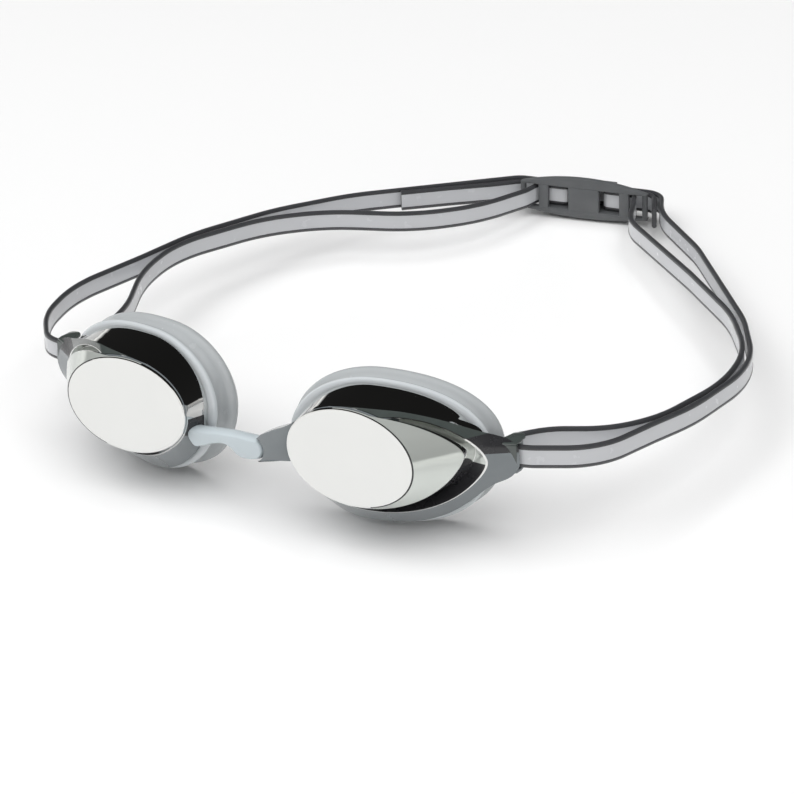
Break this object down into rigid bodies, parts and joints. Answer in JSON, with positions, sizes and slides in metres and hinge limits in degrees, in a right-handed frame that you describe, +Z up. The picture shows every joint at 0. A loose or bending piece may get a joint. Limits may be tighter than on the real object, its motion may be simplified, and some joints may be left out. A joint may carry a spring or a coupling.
{
  "type": "swim goggles",
  "caption": "Low-profile swim goggles with mirrored oval lenses, soft eye seals, a soft nosepiece and a doubled head strap closed by a rear clip.",
  "frame": {"origin": "on the ground, under the centre of the whole object's box", "axes": "+X towards the wearer's left eye, +Y towards the back of the head, +Z up; the goggles lie tipped back, resting on the two eye seals and the rear clip"},
  "size_m": [0.1846, 0.187, 0.0393],
  "materials": {
    "mirrored_lens": "smoke grey polycarbonate with a silver mirror coat on the front",
    "seal_silicone": "translucent pale silicone, satin",
    "bridge_silicone": "translucent blue-white silicone, satin",
    "strap_silicone": "two-tone silicone, pale grey centre stripe with dark grey edges, semi-gloss",
    "clip_plastic": "dark grey translucent plastic, fine satin"
  },
  "bodies": {
    "bridge": {"nose_bridge": "bridge_silicone", "head_strap": "strap_silicone"},
    "left_eyepiece": {"left_lens": "mirrored_lens", "left_gasket": "seal_silicone"},
    "right_eyepiece": {"right_lens": "mirrored_lens", "right_gasket": "seal_silicone"},
    "clip": {"rear_clip": "clip_plastic"}
  },
  "joints": [
    {"name": "left_eyepiece_hinge", "type": "hinge", "parent": "bridge", "child": "left_eyepiece", "pos_m": [0.00102, -0.0877, 0.01946], "axis": [0, 0.1786, 0.9839], "range_deg": [-8, 12], "stiffness_Nm_per_rad": 0.02},
    {"name": "right_eyepiece_hinge", "type": "hinge", "parent": "bridge", "child": "right_eyepiece", "pos_m": [-0.00998, -0.0877, 0.01946], "axis": [0, 0.1786, 0.9839], "range_deg": [-12, 8], "stiffness_Nm_per_rad": 0.02},
    {"name": "clip_slide", "type": "slide", "parent": "bridge", "child": "clip", "axis": [0, -1, 0], "range_m": [-0.01, 0.03], "deforming": ["head_strap"]}
  ]
}
